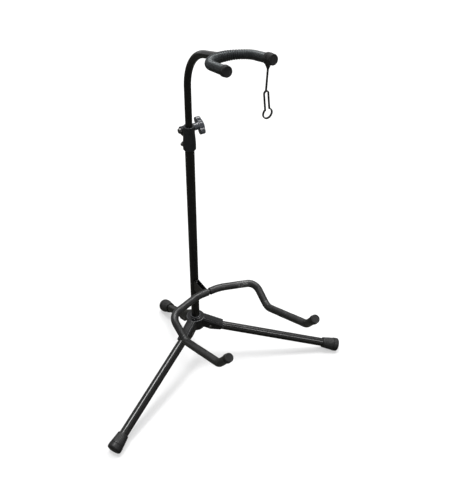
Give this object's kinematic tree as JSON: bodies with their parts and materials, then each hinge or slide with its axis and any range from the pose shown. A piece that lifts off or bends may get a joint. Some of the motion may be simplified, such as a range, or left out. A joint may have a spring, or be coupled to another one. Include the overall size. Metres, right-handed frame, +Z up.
{
  "type": "guitar stand",
  "caption": "Folding tripod stand for a guitar: telescopic pole on hinged legs, padded body cradle, padded neck yoke with a rubber retaining strap, and a wing-knob height clamp.",
  "frame": {"origin": "on the floor, under the middle of the stand's bounding box", "axes": "+Z up along the pole, -Y to the front where the guitar stands, +X to the stand's own right as seen from the front"},
  "size_m": [0.5864, 0.4781, 0.8008],
  "materials": {
    "powder_coat": "semi-gloss black powder coat",
    "foam": "matt closed-cell foam, charcoal grey",
    "ribbed_foam": "matt foam with fine ribs across it, charcoal grey",
    "soft_rubber": "soft matt black rubber",
    "clamp_plastic": "moulded black plastic with a fine grain",
    "knob_plastic": "moulded black plastic, glossy",
    "nylon": "black nylon",
    "zinc_steel": "dark zinc-plated steel",
    "brass": "turned brass"
  },
  "bodies": {
    "root": {"lower_pole": "powder_coat", "pole_plug": "soft_rubber", "pole_bush": "nylon", "hub_spider": "powder_coat", "leg_rivet_left": "zinc_steel", "leg_rivet_right": "zinc_steel", "leg_rivet_rear": "zinc_steel", "yoke_bracket": "powder_coat", "bracket_rivets": "zinc_steel", "cradle_tube": "powder_coat", "cradle_sleeve_left": "foam", "cradle_sleeve_right": "foam", "cradle_cap_left": "soft_rubber", "cradle_cap_right": "soft_rubber", "clamp_collar": "clamp_plastic", "clamp_bolt": "zinc_steel", "knob_washer": "zinc_steel", "collar_screw": "zinc_steel", "collar_nut": "zinc_steel"},
    "leg_left": {"leg_left": "powder_coat", "foot_left": "soft_rubber"},
    "leg_right": {"leg_right": "powder_coat", "foot_right": "soft_rubber"},
    "leg_rear": {"leg_rear": "powder_coat", "foot_rear": "soft_rubber"},
    "glide": {"glide_bush": "nylon"},
    "mast": {"upper_tube": "powder_coat", "neck_yoke_bar": "powder_coat", "neck_sleeve": "ribbed_foam", "neck_cap_left": "soft_rubber", "neck_cap_right": "soft_rubber"},
    "strap": {"retention_strap": "soft_rubber"},
    "knob": {"clamp_knob": "knob_plastic", "knob_insert": "brass"}
  },
  "joints": [
    {"name": "leg_left_fold", "type": "hinge", "parent": "root", "child": "leg_left", "pos_m": [-0.02858, 0.0525, 0.08753], "axis": [0.5, -0.866, 0], "range_deg": [0, 72]},
    {"name": "leg_right_fold", "type": "hinge", "parent": "root", "child": "leg_right", "pos_m": [0.02858, 0.0525, 0.08753], "axis": [0.5, 0.866, 0], "range_deg": [0, 72]},
    {"name": "leg_rear_fold", "type": "hinge", "parent": "root", "child": "leg_rear", "pos_m": [0, 0.102, 0.079], "axis": [-1, 0, 0], "range_deg": [0, 60]},
    {"name": "height_slide", "type": "slide", "parent": "root", "child": "glide", "axis": [0, 0, 1], "range_m": [-0.07, 0.15]},
    {"name": "mast_swivel", "type": "hinge", "parent": "glide", "child": "mast", "pos_m": [0, 0.069, 0.4], "axis": [0, 0, 1], "continuous": true},
    {"name": "strap_swing", "type": "hinge", "parent": "mast", "child": "strap", "pos_m": [0.03996, -0.12244, 0.78933], "axis": [0.0422, -0.9773, 0.2077], "range_deg": [-75, 100]},
    {"name": "knob_turn", "type": "hinge", "parent": "root", "child": "knob", "pos_m": [0, 0.086, 0.579], "axis": [1, 0, 0], "continuous": true}
  ]
}
